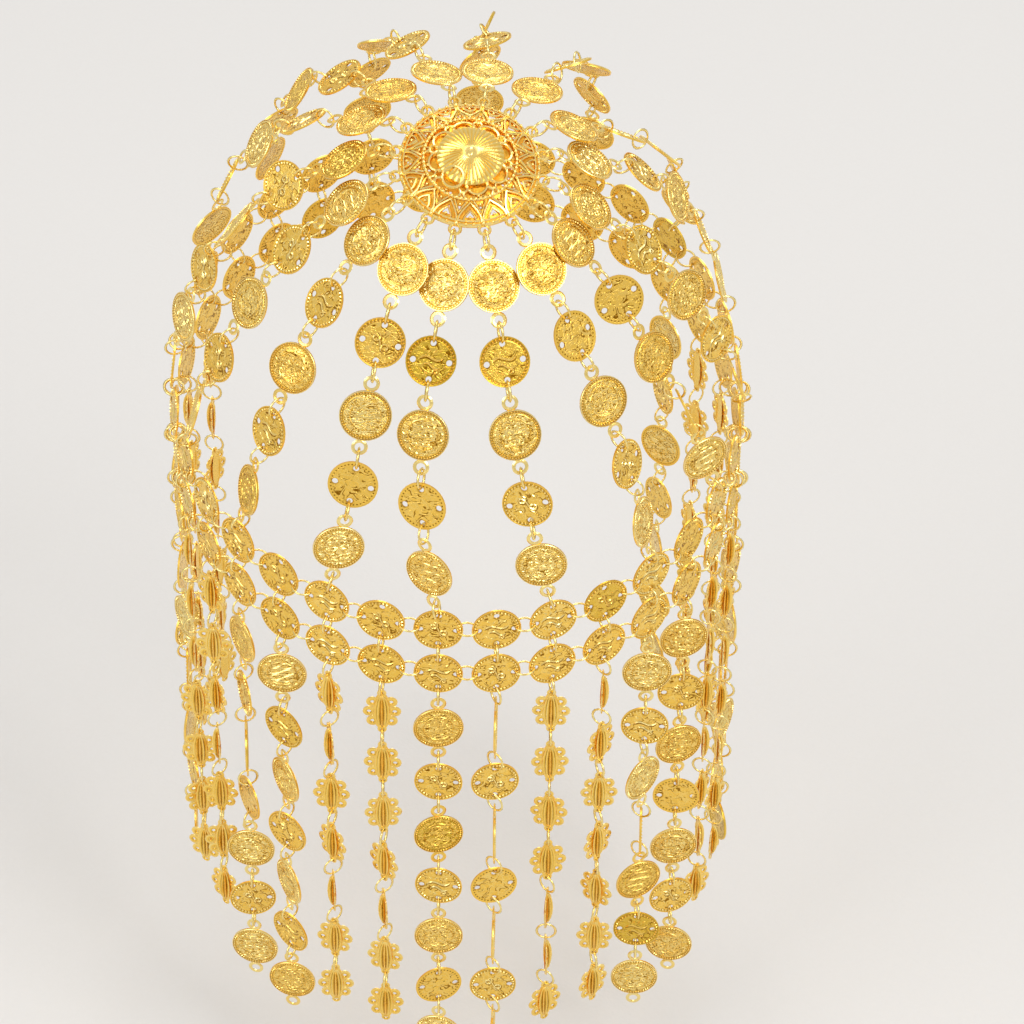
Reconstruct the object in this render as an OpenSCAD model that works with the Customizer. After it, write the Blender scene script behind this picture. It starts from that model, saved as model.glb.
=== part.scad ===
// Tassel headpiece: a net of stamped coins that lies over the hair. A pierced medallion sits on the
// crown, coin strands run down from it all round, two rows of coins ring the head and tassels of
// coins and lace beads hang round the back and sides. Millimetres, +Z up, the back of the head
// toward -Y. The origin is where the net rests on the highest point of the head form.

/* [Head form] */
// Half width of the form that the coins lie on, from side to side
head_side = 87; // [85:0.5:88]
// Half depth of the form toward the back
head_back = 88; // [86:0.5:89]
// Half depth of the form toward the brow
head_brow = 77.5; // [77:0.5:78.5]
// Height of the form's top over its widest level
head_rise = 125; // [122:1:128]
// Angle of the medallion over the horizontal, seen from the middle of the form
crown_tilt = 77; // [74:1:80]
// Turn of the medallion against the coin rows
crown_turn = -6.7; // [-8:0.1:0]
// How much fuller than an ellipsoid the form is over the brow
brow_fullness = 0.7; // [0.4:0.1:0.8]

/* [Medallion] */
// Radius of the medallion's rim
medal_r = 19.6; // [19.4:0.1:19.8]
// Height of the central rosette over the rim
medal_h = 7.6; // [6.5:0.1:8.5]
// Radius of the beaded ring between the rim and the rosette
medal_ring_r = 13.2; // [12.8:0.1:13.6]
// Radius of the central rosette
rosette_r = 8.8; // [8.4:0.1:9.2]
// Thickness of the pierced shell
medal_wall = 1.1; // [1:0.1:1.3]
// Depth of the rim's seat below the form's surface at the crown
medal_seat = 3.3; // [3:0.1:3.6]
// Pleats of the rosette
pleats = 24; // [16:8:24]

/* [Coins] */
// Radius of an eared coin
eared_r = 7.5; // [7.4:0.05:7.5]
// Distance of an ear's hole from the coin's middle
ear_at = 9.6; // [9.55:0.05:9.65]
// Outer radius of an ear
ear_r = 2.4; // [2.3:0.05:2.5]
// Radius of an ear's hole
ear_hole_r = 1.25; // [1.2:0.05:1.3]
// Radius of a four-hole coin
pierced_r = 7.25; // [7.2:0.05:7.3]
// Distance of its holes from the middle
pierced_at = 5.2; // [5.15:0.05:5.25]
// Radius of its holes
pierced_hole_r = 1; // [0.95:0.05:1.05]
// Thickness of a coin's plate
plate_t = 0.5; // [0.45:0.05:0.55]
// Thickness of a coin's raised rim
rim_t = 0.8; // [0.7:0.05:0.85]

/* [Lace beads] */
// Half length of a lace bead
bead_half = 8.4; // [8.3:0.05:8.5]
// Half width over the middle lobes
bead_side = 5.7; // [5.5:0.1:5.9]
// Radius of the side lobes
lobe_r = 1.6; // [1.5:0.1:1.7]
// Radius of the end lobes
end_lobe_r = 1.4; // [1.3:0.1:1.5]
// Height of the ribbed boss over the plate
boss_h = 1.3; // [1.1:0.1:1.5]

/* [Jump rings] */
// Diameter of a jump ring at the middle of its wire
ring_d = 5.9; // [5.85:0.05:5.95]
// Wire of a jump ring
wire_d = 0.7; // [0.65:0.05:0.7]
// Play of a ring's wire off the middle of an ear's hole
ear_play = 0.55; // [0.5:0.05:0.6]
// Play of a ring's wire off the middle of a pierced coin's hole
pierced_play = 0.35; // [0.3:0.05:0.4]

/* [Rows and tassels] */
// Length along the form from the medallion's middle to a strand's first coin
first_coin = 37.4; // [37.3:0.05:37.5]
// Coins in a crown strand
strand_coins = 5; // [5:1:5]
// Slack of a strand: how much shorter its way is than its coins and rings pulled straight
strand_slack = 1.1; // [1:0.1:1.3]
// More slack of the strands that go over the brow, where the form turns faster
brow_slack = 1.4; // [1.2:0.1:1.6]
// Drop from the upper coin row to the lower one
row_drop = 16.8; // [16.7:0.05:16.9]
// Pieces in a tassel
tassel_pieces = 7; // [3:1:7]

/* [Hidden] */
$fn = 48;
wire_fn = 16;
ear_share = 0.42;
columns = 32;
strands_n = 16;
left_tassel = -10;
right_tassel = 12;

// Crown strands from left round the back to the right. Columns of the table: the coin column that
// the strand ends on; its sway sideways at mid length in degrees about the crown; the turn of each
// coin about the strand in degrees; the lift of each coin off the form.
STRAND_COLUMN = 0;
STRAND_SWAY = 1;
STRAND_TURNS = 2;
STRAND_LIFTS = 3;
strand_table = [
    [-14,  5.0, [-10, 20, -15, 10, -5], [0, 1, 1, 0, 0]],
    [-12,  6.0, [-10, 15, 30, -10, 15], [0, 1, 1, 0, 0]],
    [-10,  0.0, [-12, -15, 25, 10, -20], [0, 0.5, 0, 0.5, 0]],
    [ -8,  0.5, [-12, 30, -22, 25, 25], [0, 0.5, 1, 0.5, 0]],
    [ -6,  2.7, [-12, 0, 5, 5, -25], [0, 0, 0, 0, 1]],
    [ -4,  3.2, [-12, -15, 10, -10, -25], [0.1, 0, 0, 0, 1]],
    [ -2,  4.5, [-4, 25, 20, 15, 30], [0.7, 0.4, 0, 0, 0.5]],
    [  0, -2.8, [-16, 15, -5, -15, -25], [0, 0.5, 0, 0, 1]],
    [  2, -2.0, [5, 0, -5, -20, -15], [-0.6, 0, 0, 0.5, 0]],
    [  4,  0.7, [0, 10, -5, 20, 30], [0.9, 0.2, 0, 0.5, 0.5]],
    [  6, -2.3, [14, -30, -5, 48, -30], [0.4, 0.5, 0, 1.5, 0.5]],
    [  8, -3.5, [12, -5, -25, -25, 24], [0, 0, 1, 1, 1]],
    [ 10,  5.0, [12, 10, -20, -5, -15], [0, 1, 0.5, 0, 0]],
    [ 12, -4.5, [12, 30, 15, -10, 10], [0.4, 1, 1, 0, 0]],
    [ 14,  0.5, [12, 40, 15, -15, 5], [0.4, 2, 2, 0.5, 0]],
    [ 16,  3.5, [0, 18, 68, 34, 0], [0, 0.8, 2, 0.8, 0]]
];

// Turn of each tassel piece about the plumb line, in degrees from facing straight back, one row for
// each coin column from left_tassel to right_tassel.
tassel_turns = [
    [-120, -100, -130,  -95, -125, -110, -140],
    [-105, -125,  -95, -115,  -80, -110, -120],
    [-110,  -80, -100, -125,  -95, -105,  -85],
    [ -85, -105,  -70,  -95, -110,  -80,  -95],
    [ -95,  -90,  -97,  -25,  -12,    5,  -30],
    [ -50,  -15,  -60,  -90,  -20,   -5,  -45],
    [ -67,  -79,  -95,  -70,  -15,   -5,  -20],
    [ -15,  -47,  -65,  -45,  -68,  -50,  -20],
    [ -50,  -85,  -15,  -50,  -92,  -20,  -10],
    [ -10,  -12,   -5,  -48,  -88,  -20,  -12],
    [  -5,  -12,    0,  -15,   -8,    5,  -20],
    [  80,    0,   82,    5,   80,   -5,   78],
    [ -10,   -5,  -15,    0,   75,   85,   20],
    [  78,   35,   -5,   33,  -40,  -10,   30],
    [  -5,  -12,   38,   80,   15,  -10,   -8],
    [   5,   -5,   10,  -10,    0,    8,  -15],
    [  60,   85,   40,   80,   50,   88,   30],
    [  65,   50,   80,   60,   90,   45,   70],
    [  80,   60,   95,   75,   55,   85,  100],
    [  95,   75,   90,  110,   80,  100,   70],
    [ 105,   90,  120,   85,  100,   75,  110],
    [ 115,  130,   95,  110,  125,   90,  105],
    [ 120,  105,  135,  115,   95,  125,  110]
];

function two_digits(n) = str(n < 10 ? "0" : "", n);
STRAND_NODES = [for (n = [1 : strands_n]) str("crown_strand_", two_digits(n))];
TASSELS_N = right_tassel - left_tassel + 1;
// Two columns of coins, then two columns of lace beads
function has_coins(column) = (column + 12) % 4 < 2;
TASSEL_NODES = [for (n = [0 : TASSELS_N - 1])
    str(has_coins(left_tassel + n) ? "coin_tassel_" : "bead_tassel_", two_digits(n + 1))];

// Places on the head form. A point is found from the form's middle by the angle from the medallion
// (reach) and the bearing about it (0 down the back, positive to the right).
wire_r = wire_d / 2;
ring_r = ring_d / 2;
form_middle = [0, 0, -head_rise];
pole = [0, -cos(crown_tilt), sin(crown_tilt)];
down_back = [0, -sin(crown_tilt), -cos(crown_tilt)];
function unit(v) = v / norm(v);
function depth_at(y) = y < 0 ? head_back : head_brow;
function ray(bearing, reach) =
    cos(reach) * pole + sin(reach) * (cos(bearing) * down_back + sin(bearing) * [1, 0, 0]);
function level_share(d) = norm([d.x / head_side, d.y / depth_at(d.y)]);
function fullness(d) = 2 + brow_fullness * max(d.y, 0) / max(norm([d.x, d.y]), 1e-6);
function on_form(d) =
    let (n = fullness(d))
    d / pow(pow(level_share(d), n) + pow(max(d.z, 0) / head_rise, n), 1 / n) + form_middle;
function outward(p) =
    let (q = p - form_middle, n = fullness(q), level = pow(level_share(q), n - 2))
    unit([level * q.x / pow(head_side, 2), level * q.y / pow(depth_at(q.y), 2),
          pow(max(q.z, 0) / head_rise, n - 1) / head_rise]);
function squared_to(v, up) = unit(v - (v * up) * up);

// Running lengths along a list of points
function lengths(points) = [for (i = 0, run = 0;
    i < len(points);
    run = i + 1 < len(points) ? run + norm(points[i + 1] - points[i]) : run, i = i + 1) run];
function paired(keys, values) = [for (i = [0 : len(keys) - 1]) [keys[i], values[i]]];

// The upper row is the closed line at a strand's length from the crown on every bearing
eared_reach = ear_at + ear_play;
pierced_reach = pierced_at + pierced_play;
coin_pitch = eared_reach + ring_d + pierced_reach;
function strand_length(bearing) = first_coin + strand_coins * coin_pitch - strand_slack
    - brow_slack * pow(max(-cos(bearing), 0), 2);
reach_step = 4;
plain_reaches = [0 : reach_step : 132];
function plain_points(bearing) = [for (reach = plain_reaches) on_form(ray(bearing, reach))];
function row_reach(bearing) =
    lookup(strand_length(bearing), paired(lengths(plain_points(bearing)), [for (r = plain_reaches) r]));
row_bearings = [for (b = [-180 : 6 : 180]) b];
row_points = [for (b = row_bearings) on_form(ray(b, row_reach(b)))];
row_runs = lengths(row_points);
row_pitch = row_runs[len(row_runs) - 1] / columns;
row_middle = lookup(0, paired(row_bearings, row_runs));
function wrapped(run) = run < 0 ? run + columns * row_pitch
    : run > columns * row_pitch ? run - columns * row_pitch : run;
function column_bearing(column) =
    lookup(wrapped(row_middle + (column - 1) * row_pitch), paired(row_runs, row_bearings));
column_points = [for (n = [0 : columns - 1])
    let (b = column_bearing(n + 1)) on_form(ray(b, row_reach(b)))];
function upper_coin(column) = column_points[(column - 1 + 2 * columns) % columns];

// A stance is [middle, up, out]: where a piece lies, its lengthwise direction and its face. A row
// coin's up lies half way between plumb and square to its sloping row.
tie_reach = (row_drop - ring_d) / 2;
function row_side(column) = unit(upper_coin(column + 1) - upper_coin(column - 1));
function row_stance(column, drop, out) =
    let (side = row_side(column), face = squared_to(out, side))
    [upper_coin(column) - [0, 0, drop],
     unit(cross(face, side) + squared_to([0, 0, 1], face)),
     face];
function upper_stance(column) = row_stance(column, 0, outward(upper_coin(column)));
function lower_stance(column) =
    let (out = outward(upper_coin(column)))
    row_stance(column, row_drop, [out.x, out.y, 0]);

// A row coin's rings pull it square to the row (its strand), plumb (its tie or tassel) and toward
// the coins beside it, and its holes lie where they pull.
function plumb_on(stance) = squared_to([0, 0, 1], stance[2]);
function square_on(stance, column) = unit(cross(stance[2], squared_to(row_side(column), stance[2])));
function bearing_on(stance, v) = atan2(v * stance[1], v * cross(stance[1], stance[2]));
function strand_end(column) =
    let (here = upper_stance(column))
    here[0] + pierced_reach * square_on(here, column);
function tie_point(stance, way) = stance[0] + way * tie_reach * plumb_on(stance);
function turned(stance, angle) =
    let (side = cross(stance[1], stance[2]))
    [stance[0], stance[1], cos(angle) * stance[2] + sin(angle) * side];
function above(stance, by) = stance[0] + by * stance[1];

module on(stance) {
    side = cross(stance[1], stance[2]);
    multmatrix([for (i = [0 : 2]) [side[i], stance[1][i], stance[2][i], stance[0][i]]])
        children();
}

// Jump ring through a point above and a point below, standing across faces that look along
// out_a and out_b, nearer to out_a by its weight. ear_share is the weight of an eared coin.
module ring_between(a, b, out_a, out_b, weight_a = 0.5, fn = wire_fn) {
    along = unit(a - b);
    facing_b = out_a * out_b < 0 ? -out_b : out_b;
    face = squared_to(weight_a * out_a + (1 - weight_a) * facing_b, along);
    on([(a + b) / 2, along, face])
        rotate([0, 90, 0])
            jump_ring(fn);
}

module jump_ring(fn = wire_fn) {
    rotate_extrude($fn = 2 * fn)
        translate([ring_r, 0])
            circle(r = wire_r, $fn = fn);
}

// Turned section of a coin with a raised rim, an inner ring and a raised middle, the same on each
// face
relief_h = 0.1;
middle_share = 0.45;
inner_ring_half = 0.25;
eared_rim_w = 0.6;
eared_ring_at = 4.6;
pierced_rim_w = 0.45;
pierced_ring_at = 3.4;
module coin_body(r, rim_w, ring_at) {
    half = plate_t / 2;
    raised = half + relief_h;
    face = [
        [0, raised],
        [ring_at * middle_share, raised],
        [ring_at * middle_share, half],
        [ring_at - inner_ring_half, half],
        [ring_at - inner_ring_half, raised],
        [ring_at + inner_ring_half, raised],
        [ring_at + inner_ring_half, half],
        [r - rim_w, half],
        [r - rim_w, rim_t / 2],
        [r, rim_t / 2]
    ];
    back = [for (i = [len(face) - 1 : -1 : 0]) [face[i].x, -face[i].y]];
    rotate_extrude()
        polygon(concat(face, back));
}

module eared_coin(drilled_ends = [-1, 1]) {
    difference() {
        union() {
            coin_body(eared_r, eared_rim_w, eared_ring_at);
            for (end = [-1, 1])
                translate([0, end * ear_at, 0])
                    cylinder(r = ear_r, h = plate_t, center = true, $fn = 32);
        }
        for (end = drilled_ends)
            translate([0, end * ear_at, 0])
                cylinder(r = ear_hole_r, h = 2 * rim_t, center = true, $fn = 24);
    }
}

// Holes are named by their bearing on the coin: 0 and 180 on its level, 90 up, 270 down
module pierced_coin(bearings = [0, 90, 180, 270]) {
    difference() {
        coin_body(pierced_r, pierced_rim_w, pierced_ring_at);
        for (b = bearings)
            rotate([0, 0, b])
                translate([pierced_at, 0, 0])
                    cylinder(r = pierced_hole_r, h = 2 * rim_t, center = true, $fn = 24);
    }
}

// Lace bead: an almond plate with three lobes a side, a lobe at each end and a domed boss
bead_play = 0.25;
bead_reach = bead_half - end_lobe_r + bead_play;
lobe_rows = [-3.7, 0, 3.7];
lobe_taper = 0.08;
almond_r = 11.5;
boss_r = 12.5;
boss_half_w = 2.6;
boss_back_r = 4.4;
module almond(r, half_w, h) {
    intersection() {
        translate([r - half_w, 0, 0]) cylinder(r = r, h = h, center = true, $fn = 96);
        translate([half_w - r, 0, 0]) cylinder(r = r, h = h, center = true, $fn = 96);
    }
}
module lace_bead() {
    almond(almond_r, bead_side - lobe_r, plate_t);
    for (side = [-1, 1], y = lobe_rows)
        translate([side * (bead_side - lobe_r - lobe_taper * abs(y)), y, 0])
            cylinder(r = lobe_r, h = plate_t, center = true, $fn = 24);
    for (end = [-1, 1])
        translate([0, end * (bead_half - end_lobe_r), 0])
            cylinder(r = end_lobe_r, h = plate_t, center = true, $fn = 24);
    intersection() {
        almond(boss_r, boss_half_w, 2 * (boss_h + plate_t / 2));
        translate([0, 0, boss_h + plate_t / 2 - boss_back_r])
            rotate([90, 0, 0])
                cylinder(r = boss_back_r, h = 2 * bead_half, center = true);
        translate([0, 0, boss_h])
            cube([4 * bead_side, 2 * bead_half, 2 * boss_h], center = true);
    }
}

// Medallion: a pierced stepped shell, domed to a pleated rosette, with a loop for each strand
loop_at = 21.2;
loop_r = 1.55;
loop_wire_r = 0.5;
loop_play = 0.3;
arches = 16;
arch_gap_half = 1.9;
eyelet_r = 0.75;
scrolls = 8;
scroll_r = 1.3;
side_scroll_r = 0.8;
side_scroll_turn = 18;
ring_wire_r = 0.55;
pleat_r = 0.42;
boss_share = 0.36;
boss_step = 0.7;
medal_out = outward(on_form(pole));
medal_stance = [on_form(pole) - medal_seat * medal_out, squared_to([0, 0, 1], medal_out), medal_out];
function loop_bearing(column) = 360 / columns * (column - 1) + crown_turn;
function loop_side(column) =
    sin(loop_bearing(column)) * cross(medal_stance[1], medal_stance[2])
    - cos(loop_bearing(column)) * medal_stance[1];
function loop_anchor(column) = medal_stance[0] + (loop_at + loop_play) * loop_side(column);

medal_foot = 0.7;
ring_h = medal_h * 0.42;
rosette_h = medal_h * 0.62;
module medal_shell() {
    rotate_extrude($fn = 96)
        polygon([
            [medal_r + 0.5, -medal_foot],
            [medal_r + 0.5, 0.6],
            [medal_r - 0.9, 0.7],
            [medal_ring_r + 0.8, ring_h - 0.4],
            [medal_ring_r + 0.7, ring_h + 0.3],
            [medal_ring_r - 0.7, ring_h + 0.5],
            [rosette_r + 0.4, rosette_h],
            [rosette_r - 0.4, rosette_h + 0.7],
            [rosette_r * 0.62, medal_h - 0.4],
            [rosette_r * 0.3, medal_h],
            [0, medal_h],
            [0, medal_h - medal_wall],
            [rosette_r * 0.55, medal_h - medal_wall - 0.3],
            [rosette_r - 0.5, rosette_h - medal_wall + 0.4],
            [medal_ring_r - 0.7, ring_h + 0.5 - medal_wall],
            [medal_r - 1.1, 0.7 - medal_wall]
        ]);
}
module medal_gaps() {
    for (n = [0 : arches - 1])
        rotate([0, 0, 360 / arches * n]) {
            translate([0, 0, -2])
                linear_extrude(height = 2 * medal_h)
                    polygon([
                        [medal_ring_r + 1.3, 0],
                        [medal_r - 2.2, arch_gap_half],
                        [medal_r - 1.4, arch_gap_half - 0.2],
                        [medal_r - 1.4, 0.2 - arch_gap_half],
                        [medal_r - 2.2, -arch_gap_half]
                    ]);
            rotate([0, 0, 180 / arches])
                translate([medal_ring_r + 2, 0, -2])
                    cylinder(r = eyelet_r, h = 2 * medal_h, $fn = 24);
        }
    for (n = [0 : scrolls - 1])
        rotate([0, 0, 360 / scrolls * n]) {
            translate([(medal_ring_r + rosette_r) / 2, 0, -2])
                cylinder(r = scroll_r, h = 2 * medal_h, $fn = 24);
            for (s = [-1, 1])
                rotate([0, 0, s * side_scroll_turn])
                    translate([(medal_ring_r + rosette_r) / 2 + 0.1, 0, -2])
                        cylinder(r = side_scroll_r, h = 2 * medal_h, $fn = 24);
        }
}
module pleat() {
    inner = rosette_r * boss_share - 0.2;
    fall = (medal_h - rosette_h - 0.8) / (rosette_r - inner);
    translate([inner, 0, medal_h - 0.15])
        rotate([0, 90 + atan(fall), 0])
            cylinder(r = pleat_r, h = (rosette_r - inner) / cos(atan(fall)), $fn = 16);
}
module crown_medallion() {
    color("goldenrod")
        on(medal_stance) {
            difference() {
                medal_shell();
                medal_gaps();
            }
            rotate_extrude($fn = 96)
                translate([medal_ring_r, ring_h + 0.45])
                    circle(r = ring_wire_r, $fn = 16);
            for (n = [0 : pleats - 1])
                rotate([0, 0, 360 / pleats * n])
                    pleat();
            translate([0, 0, medal_h + boss_step - 1.3])
                cylinder(r = rosette_r * boss_share, h = 1.3, $fn = 48);
            for (n = [0 : strands_n - 1])
                rotate([0, 0, -90 + loop_bearing(2 * n)])
                    translate([loop_at, 0, 0])
                        rotate_extrude($fn = 32)
                            translate([loop_r, 0])
                                circle(r = loop_wire_r, $fn = 16);
        }
}

// A crown strand runs from its loop to its coin column on bearings that go over evenly from one to
// the other, with its sway. Its coins share the length, and each points at the ones beside it.
path_steps = 40;
function is_eared(n) = n % 2 == 0;
function reach_of(n) = is_eared(n) ? eared_reach : pierced_reach;
function nearest_turn(angle, to) =
    angle - to > 180 ? angle - 360 : angle - to < -180 ? angle + 360 : angle;
function bearing_of(p) =
    let (q = p - form_middle)
    atan2(q.x, q * down_back);
function reach_to(p) =
    let (q = p - form_middle)
    acos(q * pole / norm(q));
function strand_path(row, from, to) =
    let (start = bearing_of(from), end = nearest_turn(bearing_of(to), start),
         near = reach_to(from), far = reach_to(to))
    [for (i = [0 : path_steps])
        let (t = i / path_steps)
        on_form(ray(start + (end - start) * t + row[STRAND_SWAY] * sin(180 * t),
                    near + (far - near) * t))];
function at_run(path, run) =
    let (runs = lengths(path))
    [for (axis = [0 : 2]) lookup(run, paired(runs, [for (p = path) p[axis]]))];
function coin_stances(row, from, to, path, places) =
    let (middles = [for (n = [0 : strand_coins - 1])
            let (spot = at_run(path, places[n]))
            spot + row[STRAND_LIFTS][n] * outward(spot)],
         chain = concat([from], middles, [to]))
    [for (n = [0 : strand_coins - 1])
        let (up = unit(chain[n] - chain[n + 2]))
        turned([middles[n], up, squared_to(outward(middles[n]), up)], row[STRAND_TURNS][n])];
function ring_spans(stances, from, to) =
    [for (n = [0 : strand_coins])
        norm((n == 0 ? from : above(stances[n - 1], -reach_of(n - 1)))
             - (n == strand_coins ? to : above(stances[n], reach_of(n))))];
// The coins slide along the path, a share of the difference at a time, until their rings agree
slide = 0.35;
slide_rounds = 8;
function settled(row, from, to, path, places, rounds) =
    rounds == 0 ? places
    : let (spans = ring_spans(coin_stances(row, from, to, path, places), from, to))
      settled(row, from, to, path,
              [for (n = [0 : strand_coins - 1]) places[n] + slide * (spans[n + 1] - spans[n])],
              rounds - 1);
chain_length = ring_d + eared_reach + strand_coins * coin_pitch - pierced_reach;
function strand_stances(row) =
    let (from = loop_anchor(row[STRAND_COLUMN]),
         to = strand_end(row[STRAND_COLUMN]),
         path = strand_path(row, from, to),
         scale_down = lengths(path)[path_steps] / chain_length,
         first = [for (n = [0 : strand_coins - 1])
            (ring_d + eared_reach + n * coin_pitch) * scale_down])
    coin_stances(row, from, to, path, settled(row, from, to, path, first, slide_rounds));

module crown_strand(row) {
    stances = strand_stances(row);
    last = strand_coins - 1;
    column = upper_stance(row[STRAND_COLUMN]);
    end = strand_end(row[STRAND_COLUMN]);
    for (n = [0 : last])
        color(is_eared(n) ? "gold" : "orange")
            on(stances[n])
                if (is_eared(n)) eared_coin();
                else pierced_coin();
    color("goldenrod") {
        ring_between(loop_anchor(row[STRAND_COLUMN]), above(stances[0], eared_reach),
                     medal_stance[2], stances[0][2]);
        for (n = [0 : last - 1])
            ring_between(above(stances[n], -reach_of(n)), above(stances[n + 1], reach_of(n + 1)),
                         stances[n][2], stances[n + 1][2], is_eared(n) ? ear_share : 1 - ear_share);
        ring_between(above(stances[last], -reach_of(last)), end,
                     stances[last][2], column[2], ear_share);
    }
}

// Half of a coin row: its coins and the side rings that join them. The ring at its right end
// passes with play through the next half's first coin.
module row_half(upper, from, to) {
    for (column = [from : to]) {
        here = upper ? upper_stance(column) : lower_stance(column);
        next = upper ? upper_stance(column + 1) : lower_stance(column + 1);
        way = next[0] - here[0];
        reach = (norm(way) - ring_d) / 2 * unit(way);
        up = bearing_on(here, upper ? square_on(here, column) : plumb_on(here));
        down = bearing_on(here, -plumb_on(here));
        color("orange")
            on(here)
                pierced_coin(column == from ? [180, up, down] : [up, down]);
        color("goldenrod")
            ring_between(here[0] + reach, next[0] - reach, here[2], next[2]);
    }
}

module row_ties() {
    color("goldenrod")
        for (column = [1 : columns]) {
            upper = upper_stance(column);
            lower = lower_stance(column);
            ring_between(tie_point(upper, -1), tie_point(lower, 1), upper[2], lower[2], fn = 36);
        }
}

// Tassels hang plumb from the lower row, every piece turned its own way. A tassel is one solid:
// its rings are soldered into its pieces, and its top ring passes with play through the row coin.
function facing(angle) = [sin(angle), -cos(angle), 0];
module tassel(column) {
    coins = has_coins(column);
    turns = tassel_turns[column - left_tassel];
    row_coin = lower_stance(column);
    hook = tie_point(row_coin, -1);
    first_reach = coins ? eared_reach : bead_reach;
    last = tassel_pieces - 1;
    pitch = coins ? coin_pitch : 2 * bead_reach + ring_d;
    top = hook.z - ring_d - first_reach;
    stances = [for (n = [0 : last])
        [[row_coin[0].x, row_coin[0].y, top - n * pitch], [0, 0, 1], facing(turns[n])]];
    color(coins ? "gold" : "orange")
        for (n = [0 : last])
            on(stances[n])
                if (!coins) lace_bead();
                else if (is_eared(n)) eared_coin(n == last ? [-1] : []);
                else pierced_coin([0, 180]);
    color("goldenrod") {
        ring_between(hook, above(stances[0], first_reach), row_coin[2], stances[0][2], 0.7);
        for (n = [0 : last - 1])
            ring_between(above(stances[n], coins ? -reach_of(n) : -bead_reach),
                         above(stances[n + 1], coins ? reach_of(n + 1) : bead_reach),
                         stances[n][2], stances[n + 1][2]);
    }
}

crown_medallion();
row_half(true, -15, 0);  // upper_row_left
row_half(true, 1, 16);  // upper_row_right
row_half(false, -15, 0);  // lower_row_left
row_half(false, 1, 16);  // lower_row_right
row_ties();
for (n = [0 : strands_n - 1])
    crown_strand(strand_table[n]);
for (n = [0 : TASSELS_N - 1])
    tassel(left_tassel + n);
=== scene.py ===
import math
import bmesh
import bpy
import numpy as np
from mathutils import Matrix, Vector


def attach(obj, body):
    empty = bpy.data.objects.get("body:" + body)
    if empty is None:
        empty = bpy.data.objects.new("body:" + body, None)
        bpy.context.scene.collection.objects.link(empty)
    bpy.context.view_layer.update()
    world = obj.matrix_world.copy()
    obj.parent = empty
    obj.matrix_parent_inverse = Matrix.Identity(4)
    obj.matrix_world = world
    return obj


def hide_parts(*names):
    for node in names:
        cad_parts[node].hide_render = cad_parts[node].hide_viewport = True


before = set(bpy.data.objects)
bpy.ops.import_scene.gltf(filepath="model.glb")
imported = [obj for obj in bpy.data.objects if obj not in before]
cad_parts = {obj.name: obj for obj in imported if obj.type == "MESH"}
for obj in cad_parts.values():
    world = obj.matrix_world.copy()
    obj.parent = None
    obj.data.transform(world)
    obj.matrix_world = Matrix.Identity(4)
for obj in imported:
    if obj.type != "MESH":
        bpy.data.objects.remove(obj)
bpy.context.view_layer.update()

print("frame loaded")

# The camera stands where the photograph was taken from. Its place and turns were measured from the
# coins: the picture is square, and its focal length is given in pixels of that picture.
photoView = {
    "pictureSide": 1024,
    "focalPixels": 4000,
    "place": (0.0173, -0.9635, 0.6276),  # from the origin, before the turn round it
    "lookDown": 39.12,
    "turnRound": -8.69,
    "roll": 0.79,
    "sensor": 36,
}


def placeCamera(view):
    down, roll = math.radians(view["lookDown"]), math.radians(view["roll"])
    ahead = Vector((0, math.cos(down), -math.sin(down)))
    level, upward = Vector((1, 0, 0)), Vector((0, math.sin(down), math.cos(down)))
    right = math.cos(roll) * level + math.sin(roll) * upward
    top = math.cos(roll) * upward - math.sin(roll) * level
    pose = Matrix((right, top, -ahead)).transposed().to_4x4()
    pose.translation = Vector(view["place"])
    bpy.ops.object.camera_add()
    camera = bpy.context.object
    camera.name = "photoCamera"
    camera.matrix_world = Matrix.Rotation(math.radians(view["turnRound"]), 4, "Z") @ pose
    camera.data.sensor_width = view["sensor"]
    camera.data.lens = view["focalPixels"] / view["pictureSide"] * view["sensor"]
    camera.data.clip_end = 20
    bpy.context.scene.camera = camera


placeCamera(photoView)

# Small tools for modelling


def deselectAll():
    if bpy.context.object and bpy.context.object.mode != "OBJECT":
        bpy.ops.object.mode_set(mode="OBJECT")
    bpy.ops.object.select_all(action="DESELECT")


def makeActive(piece):
    deselectAll()
    piece.select_set(True)
    bpy.context.view_layer.objects.active = piece


def pick(piece, kind, test):  # selects the faces or vertices whose place and normal pass the test
    bpy.ops.mesh.select_mode(type=kind)
    bpy.ops.mesh.select_all(action="DESELECT")
    form = bmesh.from_edit_mesh(piece.data)
    if kind == "FACE":
        for face in form.faces:
            face.select = test(face.calc_center_median(), face.normal)
    else:
        for corner in form.verts:
            corner.select = test(corner.co, corner.normal)
    form.select_flush_mode()
    bmesh.update_edit_mesh(piece.data)


def applyPlace(piece):
    makeActive(piece)
    bpy.ops.object.transform_apply(location=True, rotation=True, scale=True)
    return piece


def added(addPrimitive, **settings):
    deselectAll()
    addPrimitive(**settings)
    return applyPlace(bpy.context.object)


def copyOf(model, matrix=Matrix.Identity(4)):
    twin = model.copy()
    twin.data = model.data.copy()
    bpy.context.scene.collection.objects.link(twin)
    twin.data.transform(matrix)
    return twin


def joined(name, pieces):
    deselectAll()
    for piece in pieces:
        piece.select_set(True)
    bpy.context.view_layer.objects.active = pieces[0]
    if len(pieces) > 1:
        bpy.ops.object.join()
    whole = bpy.context.object
    whole.name = whole.data.name = name
    return whole


def roundCopies(model, count, start=0):
    turns = [Matrix.Rotation(start + 2 * math.pi * n / count, 4, "Z") for n in range(count)]
    copies = [copyOf(model, turn) for turn in turns]
    bpy.data.objects.remove(model)
    return copies


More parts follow.
